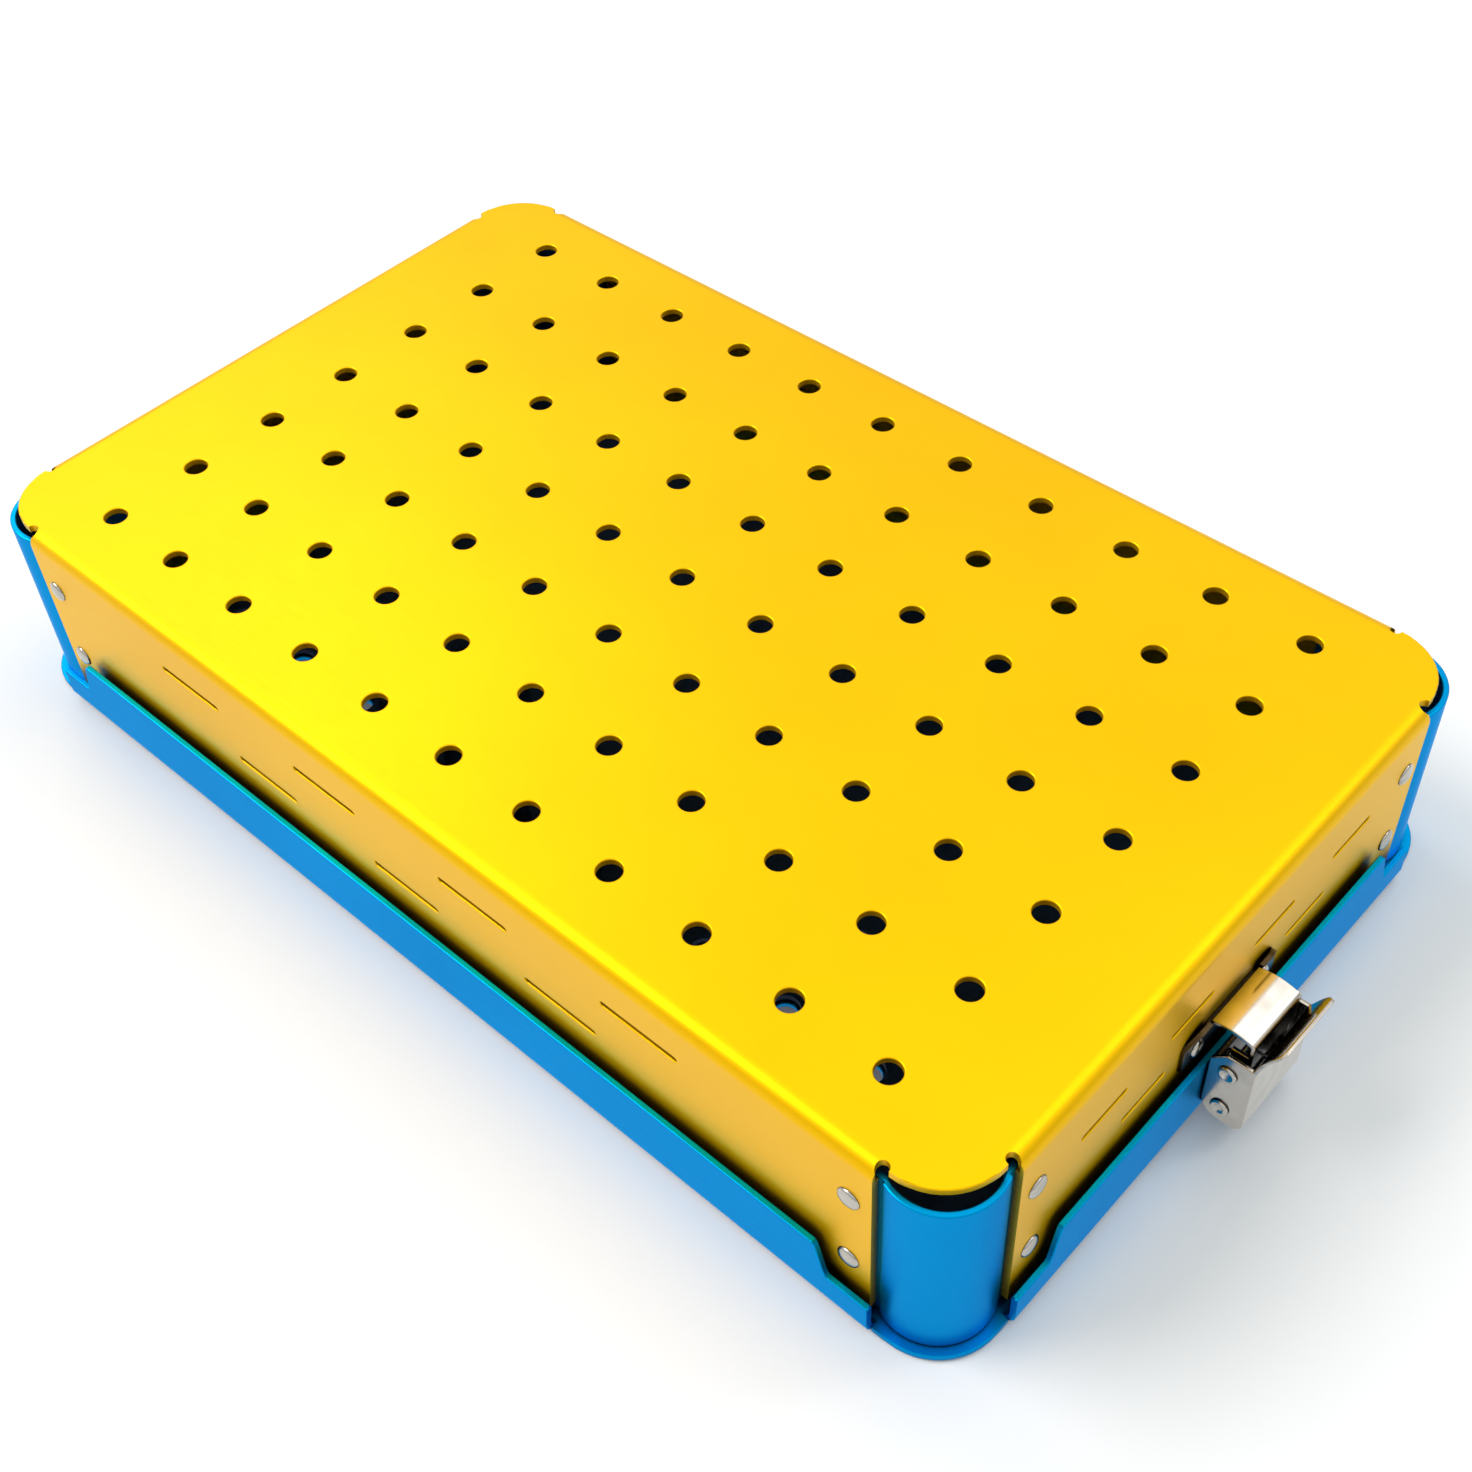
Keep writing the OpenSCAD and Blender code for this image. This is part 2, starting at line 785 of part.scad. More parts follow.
// Side view of the hook plate in X and Z: arched shelf, round bend and web
module hook_section() {
    n = 10;
    bend = latch_t + 0.4;
    run = web_x - bend - nose_x;
    rise = 0.9;
    arch = [for (i = [0 : n]) hook_top - rise + rise * sin(180 * (0.08 + 0.8 * i / n))];
    top = [for (i = [0 : n]) [nose_x + run * i / n, arch[i]]];
    under = [for (i = [0 : n]) [nose_x + run * i / n, arch[i] - latch_t]];
    bend_x = web_x - bend;
    bend_z = arch[n] - bend;
    outer = [for (i = [1 : 6])
        [bend_x + bend * sin(15 * i), bend_z + bend * cos(15 * i)]];
    inner = [for (i = [1 : 6])
        [bend_x + (bend - latch_t) * sin(15 * i), bend_z + (bend - latch_t) * cos(15 * i)]];
    web_foot = hook_pin_z + 1.9;
    polygon(concat(top, outer, [[web_x, web_foot], [web_x - latch_t, web_foot]],
                   [for (i = [0 : 5]) inner[5 - i]],
                   [for (i = [0 : n]) under[n - i]]));
}

// Hook plate on the +X end: arched shelf, web and two arms on the upper pin
module hook_part() {
    difference() {
        union() {
            rotate([90, 0, 0])
                linear_extrude(height = hook_w, center = true)
                    hook_section();
            for (s = [-1, 1])
                translate([0, s * (hook_y - latch_t / 2), 0])
                    rotate([90, 0, 0])
                        linear_extrude(height = latch_t, center = true) {
                            translate([pin_x, hook_pin_z])
                                circle(r = 2.1, $fn = 48);
                            translate([pin_x, hook_pin_z - 2.1])
                                square([web_x - latch_t / 2 - pin_x, 5.5]);
                            translate([pin_x - 1.2, hook_pin_z])
                                square([web_x - latch_t / 2 - pin_x + 1.2, 4.6]);
                        }
        }
        translate([pin_x, 0, hook_pin_z])
            rotate([90, 0, 0])
                cylinder(d = pin_d + 0.1, h = 30, center = true, $fn = 48);
    }
}

// Torsion spring on the upper pin: a closed coil and two short legs
module hook_spring_part() {
    wire = 0.6;
    mean = pin_d / 2 + 0.15 + wire / 2;
    turns = 4;
    leg_y = turns * wire / 2 - wire / 2;
    translate([pin_x, 0, hook_pin_z])
        rotate([90, 0, 0])
            for (i = [0 : turns - 1])
                translate([0, 0, (i - (turns - 1) / 2) * wire])
                    rotate_extrude($fn = 48)
                        translate([mean, 0])
                            square([wire, wire + eps], center = true);
    translate([pin_x, leg_y, hook_pin_z - mean])
        rotate([0, 90, 0])
            cylinder(d = wire, h = front_in - 0.05 - pin_x, $fn = 24);
    translate([pin_x + mean, -leg_y, hook_pin_z])
        cylinder(d = wire, h = 0.7, $fn = 24);
    translate([pin_x + mean - wire / 2, -leg_y, hook_pin_z + 0.7])
        rotate([0, 90, 0])
            cylinder(d = wire, h = web_x + 0.7 + wire / 2 - pin_x - mean, $fn = 24);
    translate([web_x + 0.7, -leg_y, hook_pin_z + 0.7])
        cylinder(d = wire, h = 1.3, $fn = 24);
}

module bracket_right() {
    color(steel)
        bracket_part();
}

module bracket_rivets_right() {
    color(rivet_grey)
        bracket_rivet_part();
}

module lever_pin_right() {
    color(rivet_grey)
        latch_pin(lever_pin_z);
}

module lever_right() {
    color(steel)
        lever_part();
}

module hook_pin_right() {
    color(rivet_grey)
        latch_pin(hook_pin_z);
}

module hook_spring_right() {
    color(rivet_grey)
        hook_spring_part();
}

module hook_plate_right() {
    color(steel)
        hook_part();
}

module bracket_left() {
    color(steel)
        mirror([1, 0, 0])
            bracket_part();
}

module bracket_rivets_left() {
    color(rivet_grey)
        mirror([1, 0, 0])
            bracket_rivet_part();
}

module lever_pin_left() {
    color(rivet_grey)
        mirror([1, 0, 0])
            latch_pin(lever_pin_z);
}

module lever_left() {
    color(steel)
        mirror([1, 0, 0])
            lever_part();
}

module hook_pin_left() {
    color(rivet_grey)
        mirror([1, 0, 0])
            latch_pin(hook_pin_z);
}

module hook_spring_left() {
    color(rivet_grey)
        mirror([1, 0, 0])
            hook_spring_part();
}

module hook_plate_left() {
    color(steel)
        mirror([1, 0, 0])
            hook_part();
}

lid_shell();
corner_front_right();
corner_front_left();
corner_back_right();
corner_back_left();
lid_rivets();
keeper_right();
keeper_rivets_right();
keeper_left();
keeper_rivets_left();
base_tray();
silicone_mat();
bracket_right();
bracket_rivets_right();
lever_pin_right();
lever_right();
hook_pin_right();
hook_spring_right();
hook_plate_right();
bracket_left();
bracket_rivets_left();
lever_pin_left();
lever_left();
hook_pin_left();
hook_spring_left();
hook_plate_left();
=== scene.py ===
# %% [markdown]
# A sterilisation cassette for small dental instruments: a gold anodised,
# perforated lid of folded sheet, blue anodised corner pieces riveted to it,
# a shallow blue tray and a polished stainless latch on each short end. The
# measured solids come in as the frame; this script dresses them. Everything
# is in metres, the origin is under the middle of the tray, X runs along the
# long side and Z is up.

import bpy
import bmesh
import json
import math
from mathutils import Matrix, Vector

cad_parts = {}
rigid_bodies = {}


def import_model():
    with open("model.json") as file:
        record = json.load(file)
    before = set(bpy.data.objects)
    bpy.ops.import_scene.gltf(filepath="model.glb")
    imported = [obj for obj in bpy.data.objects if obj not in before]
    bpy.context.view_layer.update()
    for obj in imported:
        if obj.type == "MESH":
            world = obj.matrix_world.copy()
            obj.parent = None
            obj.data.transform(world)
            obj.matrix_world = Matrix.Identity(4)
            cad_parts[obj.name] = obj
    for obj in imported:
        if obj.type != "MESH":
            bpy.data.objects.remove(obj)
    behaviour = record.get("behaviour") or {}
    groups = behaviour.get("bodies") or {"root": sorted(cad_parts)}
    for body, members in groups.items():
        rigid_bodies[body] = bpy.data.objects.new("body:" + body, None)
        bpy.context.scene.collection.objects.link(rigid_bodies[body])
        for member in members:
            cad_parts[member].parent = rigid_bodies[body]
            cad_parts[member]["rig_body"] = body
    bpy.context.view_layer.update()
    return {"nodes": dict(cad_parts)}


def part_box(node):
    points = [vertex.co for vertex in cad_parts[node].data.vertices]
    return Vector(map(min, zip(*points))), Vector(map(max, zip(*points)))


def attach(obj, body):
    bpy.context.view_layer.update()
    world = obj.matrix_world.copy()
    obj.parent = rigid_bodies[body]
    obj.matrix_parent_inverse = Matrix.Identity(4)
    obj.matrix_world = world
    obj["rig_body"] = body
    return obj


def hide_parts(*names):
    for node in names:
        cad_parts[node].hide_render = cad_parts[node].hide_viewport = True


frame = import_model()
scene = bpy.context.scene
nodes = frame["nodes"]
MM = 0.001
WELD = 0.000003  # m; corners of the CAD mesh closer than this are one corner

# %% [markdown]
# The photograph was taken from above one corner. The camera's place, its turn
# and its lens were solved from the lid's 77 holes, its rivets, slots and lower
# edge, so the picture's frame is the photograph's frame and nothing is shifted.

# %% Camera
camera_data = bpy.data.cameras.new("camera")
camera_data.lens = 48.0
camera_data.sensor_width = 36.0
camera = bpy.data.objects.new("camera", camera_data)
camera.location = (0.2015, -0.18988, 0.30025)
camera.rotation_euler = (math.radians(42.6457), math.radians(2.3922), math.radians(42.3821))
camera_data.clip_start = 0.01
camera_data.clip_end = 20
scene.collection.objects.link(camera)
scene.camera = camera
print("camera at", [round(x, 3) for x in camera.location], "lens", camera_data.lens)

# %% [markdown]
# Colours are written as sRGB hex values, the way a paint chart gives them, and
# one function turns them to the linear values that Cycles works with. Every
# node of every material goes in through one helper, which sets the sockets it
# is given and joins the links.


# %% Colour and node helpers
def linear(hex_colour, alpha=1.0):
    channels = [int(hex_colour[i : i + 2], 16) / 255 for i in (1, 3, 5)]
    return tuple(c / 12.92 if c <= 0.04045 else ((c + 0.055) / 1.055) ** 2.4 for c in channels) + (alpha,)


def add_node(tree, kind, settings=None, values=None, links=None):
    """Adds a node; values sets its inputs and links joins outputs to its inputs."""
    node = tree.nodes.new(kind)
    for name, value in (settings or {}).items():
        setattr(node, name, value)
    for socket, value in (values or {}).items():
        node.inputs[socket].default_value = value
    for socket, output in (links or {}).items():
        tree.links.new(output, node.inputs[socket])
    return node


def in_crevices(tree, colour, dark_colour, reach_mm):
    """The colour with painted shade: darkened where another surface stands closer than reach_mm."""
    open_sky = add_node(tree, "ShaderNodeAmbientOcclusion", {"samples": 6},
                        {"Distance": reach_mm * MM})
    clear = add_node(tree, "ShaderNodeMapRange", {"interpolation_type": "SMOOTHSTEP"},
                     {"From Min": 0.25, "From Max": 0.72, "To Min": 0.0, "To Max": 1.0},
                     {"Value": open_sky.outputs["AO"]})
    return add_node(tree, "ShaderNodeMix", {"data_type": "RGBA"}, {"A": linear(dark_colour)},
                    {"Factor": clear.outputs[0], "B": colour})


def new_material(name):
    material = bpy.data.materials.new(name)
    material.use_nodes = True
    material.node_tree.nodes.clear()
    return material, material.node_tree


def finish_material(tree, shader):
    out = tree.nodes.new("ShaderNodeOutputMaterial")
    tree.links.new(shader.outputs[0], out.inputs["Surface"])


print("gold in linear values", [round(c, 3) for c in linear("#FBCA00")])

# %% [markdown]
# The cassette stands on a plain pale table in soft daylight. A sheet of paper
# that sweeps to white can be had from a curved backdrop or from the world's
# colour; here the world is white for the camera and for reflections, with a
# darker horizon for reflections, as in a room. The floor is a matt, almost
# white plane, so that it keeps the object's shadow; far out it turns to the
# backdrop's white. For reflections the floor is mixed with a painted glow,
# strong on the window's side (-X) and weak in the object's own shade (+X), so
# polished walls mirror it as lit paper.

# %% World and floor
world = bpy.data.worlds.new("studio")
scene.world = world
world.use_nodes = True
sky = world.node_tree
sky.nodes.clear()
rays = add_node(sky, "ShaderNodeLightPath")
seen = add_node(sky, "ShaderNodeMath", {"operation": "MAXIMUM"}, None,
                {0: rays.outputs["Is Camera Ray"], 1: rays.outputs["Is Glossy Ray"]})
seen = add_node(sky, "ShaderNodeMath", {"operation": "MAXIMUM"}, None,
                {0: seen.outputs[0], 1: rays.outputs["Is Transmission Ray"]})
direction = add_node(sky, "ShaderNodeTexCoord")
height = add_node(sky, "ShaderNodeSeparateXYZ", None, None, {0: direction.outputs["Generated"]})
room = add_node(sky, "ShaderNodeMapRange", {"interpolation_type": "SMOOTHSTEP"},
                {"From Min": 0.12, "From Max": 0.60, "To Min": 0.55, "To Max": 1.0},
                {"Value": height.outputs["Z"]})
room = add_node(sky, "ShaderNodeMath", {"operation": "MAXIMUM"}, None,
                {0: room.outputs[0], 1: rays.outputs["Is Camera Ray"]})
fill = add_node(sky, "ShaderNodeBackground", None, {"Color": linear("#E9F6FA"), "Strength": 0.55})
white = add_node(sky, "ShaderNodeBackground", None, {"Color": (1, 1, 1, 1)},
                 {"Strength": room.outputs[0]})
blend = add_node(sky, "ShaderNodeMixShader", None, None,
                 {0: seen.outputs[0], 1: fill.outputs[0], 2: white.outputs[0]})
sky_out = add_node(sky, "ShaderNodeOutputWorld", None, None, {"Surface": blend.outputs[0]})

paper, tree = new_material("white matt paper")
rays = add_node(tree, "ShaderNodeLightPath")
coords = add_node(tree, "ShaderNodeTexCoord")
fibre = add_node(tree, "ShaderNodeTexNoise", None, {"Scale": 900.0, "Detail": 4.0},
                 {"Vector": coords.outputs["Object"]})
relief = add_node(tree, "ShaderNodeBump", None, {"Strength": 0.05, "Distance": 0.0001},
                  {"Height": fibre.outputs["Fac"]})
matt = add_node(tree, "ShaderNodeBsdfDiffuse", None, {"Color": linear("#F6F7F9")},
                {"Normal": relief.outputs["Normal"]})
place = add_node(tree, "ShaderNodeSeparateXYZ", None, None, {0: coords.outputs["Object"]})
# Painted glow: in reflections the floor glows strongly on -X and weakly on +X, in place of light and shade.
spill = add_node(tree, "ShaderNodeMapRange", {"interpolation_type": "SMOOTHSTEP"},
                 {"From Min": 0.09, "From Max": 0.17, "To Min": 0.78, "To Max": 0.16},
                 {"Value": place.outputs["X"]})
mirrored = add_node(tree, "ShaderNodeMath", {"operation": "MULTIPLY"}, None,
                    {0: rays.outputs["Is Glossy Ray"], 1: spill.outputs[0]})
share = add_node(tree, "ShaderNodeMath", {"operation": "MULTIPLY_ADD"}, {1: 0.08},
                 {0: rays.outputs["Is Camera Ray"], 2: mirrored.outputs[0]})
away = add_node(tree, "ShaderNodeVectorMath", {"operation": "LENGTH"}, None,
                {0: coords.outputs["Object"]})
fade = add_node(tree, "ShaderNodeMapRange", {"interpolation_type": "SMOOTHSTEP"},
                {"From Min": 0.40, "From Max": 1.10, "To Min": 0.0, "To Max": 1.0},
                {"Value": away.outputs["Value"]})
fade = add_node(tree, "ShaderNodeMath", {"operation": "MULTIPLY"}, None,
                {0: fade.outputs[0], 1: rays.outputs["Is Camera Ray"]})
share = add_node(tree, "ShaderNodeMath", {"operation": "MAXIMUM"}, None,
                 {0: share.outputs[0], 1: fade.outputs[0]})
glow = add_node(tree, "ShaderNodeEmission", None, {"Color": (1, 1, 1, 1), "Strength": 1.12})
both = add_node(tree, "ShaderNodeMixShader", None, None,
                {0: share.outputs[0], 1: matt.outputs[0], 2: glow.outputs[0]})
finish_material(tree, both)

floor_mesh = bpy.data.meshes.new("floor")
floor_mesh.from_pydata([(-3, -3, 0), (3, -3, 0), (3, 3, 0), (-3, 3, 0)], [], [(0, 1, 2, 3)])
floor = bpy.data.objects.new("floor", floor_mesh)
floor.data.materials.append(paper)
floor.location.z = -0.0002
scene.collection.objects.link(floor)


# %% [markdown]
# The pale band on the lid is the mirror image of a large soft source on the far
# left, here an area lamp. One lamp could do for the band alone, but the folds
# and rivets also catch light from the front left, which a wide, weak sun gives,
# and two more softboxes light the lid from above and the right-hand fold from
# the far side.


# %% Lamps
def softbox(name, place, target, width, height, power):
    """A rectangular area lamp that faces its target."""
    data = bpy.data.lights.new(name, "AREA")
    data.shape = "RECTANGLE"
    data.size = width
    data.size_y = height
    data.energy = power
    lamp = bpy.data.objects.new(name, data)
    lamp.location = place
    aim = Vector(target) - Vector(place)
    lamp.rotation_euler = aim.to_track_quat("-Z", "Y").to_euler()
    scene.collection.objects.link(lamp)
    return lamp


softbox("window softbox", (-0.668, 0.190, 0.772), (-0.03, -0.06, 0.046), 0.38, 0.40, 1.50)
softbox("overhead softbox", (0.3, 0.55, 1.4), (0.3, 0.55, 0), 1.0, 0.9, 4.5)
softbox("far softbox", (0.64, 0.78, 0.96), (0.125, 0, 0.046), 0.30, 0.60, 1.6)
daylight_data = bpy.data.lights.new("soft daylight", "SUN")
daylight_data.color = linear("#FFF4EC")[:3]
daylight_data.energy = 1.9
daylight_data.angle = math.radians(34)
daylight = bpy.data.objects.new("soft daylight", daylight_data)
daylight.rotation_euler = Vector((0.62, 0.40, -0.72)).to_track_quat("-Z", "Y").to_euler()
scene.collection.objects.link(daylight)

# %% [markdown]
# Anodised aluminium is bare metal under a thin, hard, dyed oxide. The sheet is
# rolled, etched to a satin and then dyed, so it reflects like metal but softly,
# in its own colour, with the faint lines of the rolling along the sheet. Part
# of the light scatters in the dyed oxide, so the finish is not all metal, and
# at a low angle the sheen turns pale. In narrow grooves, where two surfaces
# stand within a few millimetres, hardly any light gets in; the shade there is
# deepened by an occlusion term, in the finish's own dark tone. The real grain
# is near 0.05 mm; it is drawn at 0.25 mm so that it shows.


# %% Anodised aluminium, gold and blue
def anodised(name, colour, deep_colour, groove_colour, edge_colour, metal, roughness, grain_mm):
    """Satin anodised sheet; metal is the share of the light that isn't scattered by the oxide."""
    material, tree = new_material(name)
    coords = add_node(tree, "ShaderNodeTexCoord")
    rolled = add_node(tree, "ShaderNodeMapping", None, {"Scale": (1 / 18, 1.0, 1.0)},
                      {"Vector": coords.outputs["Object"]})
    lines = add_node(tree, "ShaderNodeTexNoise", None,
                     {"Scale": 1 / (grain_mm * 2 * MM), "Detail": 3.0, "Roughness": 0.6},
                     {"Vector": rolled.outputs[0]})
    grain = add_node(tree, "ShaderNodeTexNoise", None,
                     {"Scale": 1 / (grain_mm * MM), "Detail": 2.0, "Roughness": 0.55},
                     {"Vector": coords.outputs["Object"]})
    cloud = add_node(tree, "ShaderNodeTexNoise", None, {"Scale": 1 / (45 * MM), "Detail": 3.0},
                     {"Vector": coords.outputs["Object"]})
    shade = add_node(tree, "ShaderNodeMapRange", None,
                     {"From Min": 0.3, "From Max": 0.7, "To Min": 0.0, "To Max": 1.0},
                     {"Value": cloud.outputs["Fac"]})
    dye = add_node(tree, "ShaderNodeMix", {"data_type": "RGBA"},
                   {"A": linear(colour), "B": linear(deep_colour)},
                   {"Factor": shade.outputs[0]})
    # Painted shade: the dye darkens towards the deep groove tone where another surface stands within 3 mm.
    dye = in_crevices(tree, dye.outputs["Result"], groove_colour, 3.0)
    satin = add_node(tree, "ShaderNodeMapRange", None,
                     {"From Min": 0.25, "From Max": 0.75, "To Min": roughness - 0.03,
                      "To Max": roughness + 0.04},
                     {"Value": lines.outputs["Fac"]})
    low = add_node(tree, "ShaderNodeBump", None, {"Strength": 0.10, "Distance": 0.00006},
                   {"Height": lines.outputs["Fac"]})
    relief = add_node(tree, "ShaderNodeBump", None, {"Strength": 0.12, "Distance": 0.00005},
                      {"Height": grain.outputs["Fac"], "Normal": low.outputs["Normal"]})
    shader = add_node(tree, "ShaderNodeBsdfPrincipled", None,
                      {"Metallic": metal, "Specular IOR Level": 0.12, "Specular Tint": linear(edge_colour)},
                      {"Base Color": dye.outputs["Result"], "Roughness": satin.outputs[0],
                       "Normal": relief.outputs["Normal"]})
    finish_material(tree, shader)
    return material


gold = anodised("gold anodised aluminium", "#F5C000", "#F1BA00", "#2E1A06",
                "#FFFFFF", 0.68, 0.40, 0.25)
blue = anodised("blue anodised aluminium", "#0097D6", "#008ECB", "#01204E",
                "#8FD0FF", 0.86, 0.34, 0.25)
print("anodised finishes", gold.name, blue.name)

# %% [markdown]
# The latches are stamped from stainless steel and barrel polished, which rounds
# the edges and leaves a bright surface with a fine haze and small scratches.
# The keeper is dark and dull in the photograph, so it and the hidden bracket are
# taken as pickled, unpolished steel; their tone is kept far darker than such
# steel, as painted shade inside the latch. Rivets and pins are tumbled, a little
# duller than the latch.


# %% Polished steel and rivet aluminium
def bare_metal(name, colour, dull_colour, roughness, spread, scratch_mm, relief_strength):
    """Undyed metal with a patchy haze of 4 mm, fine scratches drawn out along Z and painted shade, near
    black, in crevices.
    """
    material, tree = new_material(name)
    coords = add_node(tree, "ShaderNodeTexCoord")
    drawn = add_node(tree, "ShaderNodeMapping", None, {"Scale": (1.0, 1.0, 1 / 10)},
                     {"Vector": coords.outputs["Object"]})
    scratch = add_node(tree, "ShaderNodeTexNoise", None,
                       {"Scale": 1 / (scratch_mm * MM), "Detail": 4.0, "Roughness": 0.65},
                       {"Vector": drawn.outputs[0]})
    haze = add_node(tree, "ShaderNodeTexNoise", None, {"Scale": 1 / (4 * MM), "Detail": 3.0},
                    {"Vector": coords.outputs["Object"]})
    polish = add_node(tree, "ShaderNodeMapRange", None,
                      {"From Min": 0.3, "From Max": 0.7, "To Min": roughness,
                       "To Max": roughness + spread},
                      {"Value": haze.outputs["Fac"]})
    tone = add_node(tree, "ShaderNodeMix", {"data_type": "RGBA"},
                    {"A": linear(colour), "B": linear(dull_colour)},
                    {"Factor": haze.outputs["Fac"]})
    # Painted shade: the tone turns near black where another surface stands within 5 mm.
    tone = in_crevices(tree, tone.outputs["Result"], "#0B0907", 5.0)
    relief = add_node(tree, "ShaderNodeBump", None,
                      {"Strength": relief_strength, "Distance": 0.00004},
                      {"Height": scratch.outputs["Fac"]})
    shader = add_node(tree, "ShaderNodeBsdfPrincipled", None, {"Metallic": 1.0},
                      {"Base Color": tone.outputs["Result"], "Roughness": polish.outputs[0],
                       "Normal": relief.outputs["Normal"]})
    finish_material(tree, shader)
    return material


steel = bare_metal("polished stainless steel", "#C9C3B9", "#AFA99F", 0.12, 0.09, 0.3, 0.10)
# Painted shade: a dull finish, in a tone far darker than real pickled steel.
dull_steel = bare_metal("pickled stainless steel", "#615B52", "#4A453D", 0.26, 0.10, 0.3, 0.14)
rivet_metal = bare_metal("tumbled aluminium rivet", "#C9C5BC", "#AEAAA1", 0.17, 0.10, 0.25, 0.2)
print("bare metals", steel.name, rivet_metal.name)

# %% [markdown]
# Medical silicone is moulded in a spark-eroded tool, so it is matt with a fine
# pebbled skin. No mat can be seen in the photograph, whose holes are almost
# black. Blue is a usual colour for such mats; it is guessed here, and kept deep
# so that the holes stay dark.

# %% Silicone
silicone, tree = new_material("matt moulded silicone")
coords = add_node(tree, "ShaderNodeTexCoord")
pebble = add_node(tree, "ShaderNodeTexNoise", None, {"Scale": 1 / (0.4 * MM), "Detail": 2.0},
                  {"Vector": coords.outputs["Object"]})
cloud = add_node(tree, "ShaderNodeTexNoise", None, {"Scale": 1 / (30 * MM), "Detail": 2.0},
                 {"Vector": coords.outputs["Object"]})
tone = add_node(tree, "ShaderNodeMix", {"data_type": "RGBA"},
                {"A": linear("#20456F"), "B": linear("#284F7C")}, {"Factor": cloud.outputs["Fac"]})
relief = add_node(tree, "ShaderNodeBump", None, {"Strength": 0.3, "Distance": 0.0001},
                  {"Height": pebble.outputs["Fac"]})
skin = add_node(tree, "ShaderNodeBsdfPrincipled", None,
                {"Roughness": 0.55, "IOR": 1.41, "Subsurface Weight": 0.15,
                 "Subsurface Radius": (0.4, 0.8, 1.0), "Subsurface Scale": 0.002},
                {"Base Color": tone.outputs["Result"], "Normal": relief.outputs["Normal"]})
finish_material(tree, skin)
print("mat finish", silicone.name)

# %% [markdown]
# A CAD solid has perfectly sharp edges, which never catch the light. Real sheet
# edges are deburred and real bends are round. Each sheet piece is therefore a
# copy of its solid: the loose triangles are merged and the flat faces joined,
# then a Bevel modifier rounds every edge by a tenth or two of a millimetre and
# Weighted Normal keeps the big faces flat. A modelled-over copy can't drift
# from the solid, which a piece made anew might.


# %% A dressed copy of a CAD solid
SHARP = 32  # degrees; edges that turn by more are real edges and get a bevel


def plain_mesh(obj, name):
    """The evaluated object as a plain mesh object at the origin."""
    graph = bpy.context.evaluated_depsgraph_get()
    mesh = bpy.data.meshes.new_from_object(obj.evaluated_get(graph), depsgraph=graph)
    mesh.name = name
    piece = bpy.data.objects.new(name, mesh)
    scene.collection.objects.link(piece)
    bpy.data.objects.remove(obj)
    return piece


def smooth_below(mesh, degrees):
    """Shades the mesh smooth and marks the edges above an angle sharp."""
    for polygon in mesh.polygons:
        polygon.use_smooth = True
    mesh.set_sharp_from_angle(angle=math.radians(degrees))


def take_place(piece, node, material):
    """The finished piece rides on its node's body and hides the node."""
    piece.data.materials.clear()
    piece.data.materials.append(material)
    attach(piece, nodes[node]["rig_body"])
    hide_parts(node)


def dressed(node, material, edge_mm, left_sharp=(), segments=2):
    """A copy of the node with rounded edges, except in the boxes of left_sharp (mm, one corner)."""
    mesh = nodes[node].data.copy()
    form = bmesh.new()
    form.from_mesh(mesh)
    bmesh.ops.remove_doubles(form, verts=form.verts, dist=WELD)
    bmesh.ops.dissolve_limit(form, angle_limit=math.radians(0.5), verts=form.verts,
                             edges=form.edges, delimit=set())
    weight = form.edges.layers.float.new("bevel_weight_edge")
    for edge in form.edges:
        ends = [(abs(v.co.x) / MM, abs(v.co.y) / MM, v.co.z / MM) for v in edge.verts]
        spared = any(all(box[0][i] <= end[i] <= box[1][i] for i in range(3))
                     for box in left_sharp for end in ends)
        if edge.calc_face_angle(0.0) > math.radians(SHARP) and not spared:
            edge[weight] = 1.0
    form.to_mesh(mesh)
    form.free()
    rough = bpy.data.objects.new(node + "_rough", mesh)
    scene.collection.objects.link(rough)
    smooth_below(mesh, SHARP)
    bevel = rough.modifiers.new("deburred edges", "BEVEL")
    bevel.limit_method = "WEIGHT"
    bevel.width = edge_mm * MM
    bevel.segments = segments
    bevel.use_clamp_overlap = False
    bevel.loop_slide = False
    normals = rough.modifiers.new("flat faces", "WEIGHTED_NORMAL")
    normals.keep_sharp = True
    piece = plain_mesh(rough, node + "_dressed")
    take_place(piece, node, material)
    print(piece.name, len(piece.data.polygons), "faces")
    return piece


# %% Lid and tray sheets
# The ends of the folds and bends, where several small edges meet, stay sharp.
FOLD_ENDS = [((108.0, 70.5, 40.0), (113.0, 76.0, 46.5)), ((120.5, 58.0, 40.0), (126.0, 63.0, 46.5))]
BEND_ENDS = [((110.0, 73.8, -0.1), (112.5, 79.0, 3.6)), ((123.8, 60.0, -0.1), (129.0, 62.5, 3.6))]
dressed("lid_shell", gold, 0.2, FOLD_ENDS)
dressed("base_tray", blue, 0.2, BEND_ENDS)

# %% Corner pieces
for corner in ("front_right", "front_left", "back_right", "back_left"):
    dressed("corner_" + corner, blue, 0.25)

# %% Latch stampings
for side in ("right", "left"):
    dressed("keeper_" + side, dull_steel, 0.12)
    dressed("bracket_" + side, dull_steel, 0.15)
    dressed("lever_" + side, steel, 0.18)
    dressed("hook_plate_" + side, steel, 0.15)

# %% [markdown]
# The rivets repeat: one turned template is instanced by Geometry Nodes on a
# cloud of points, one for each rivet, and each is turned at random about its
# own axis so that no two catch the light in just the same way. The points and
# their axes come from the solids themselves.


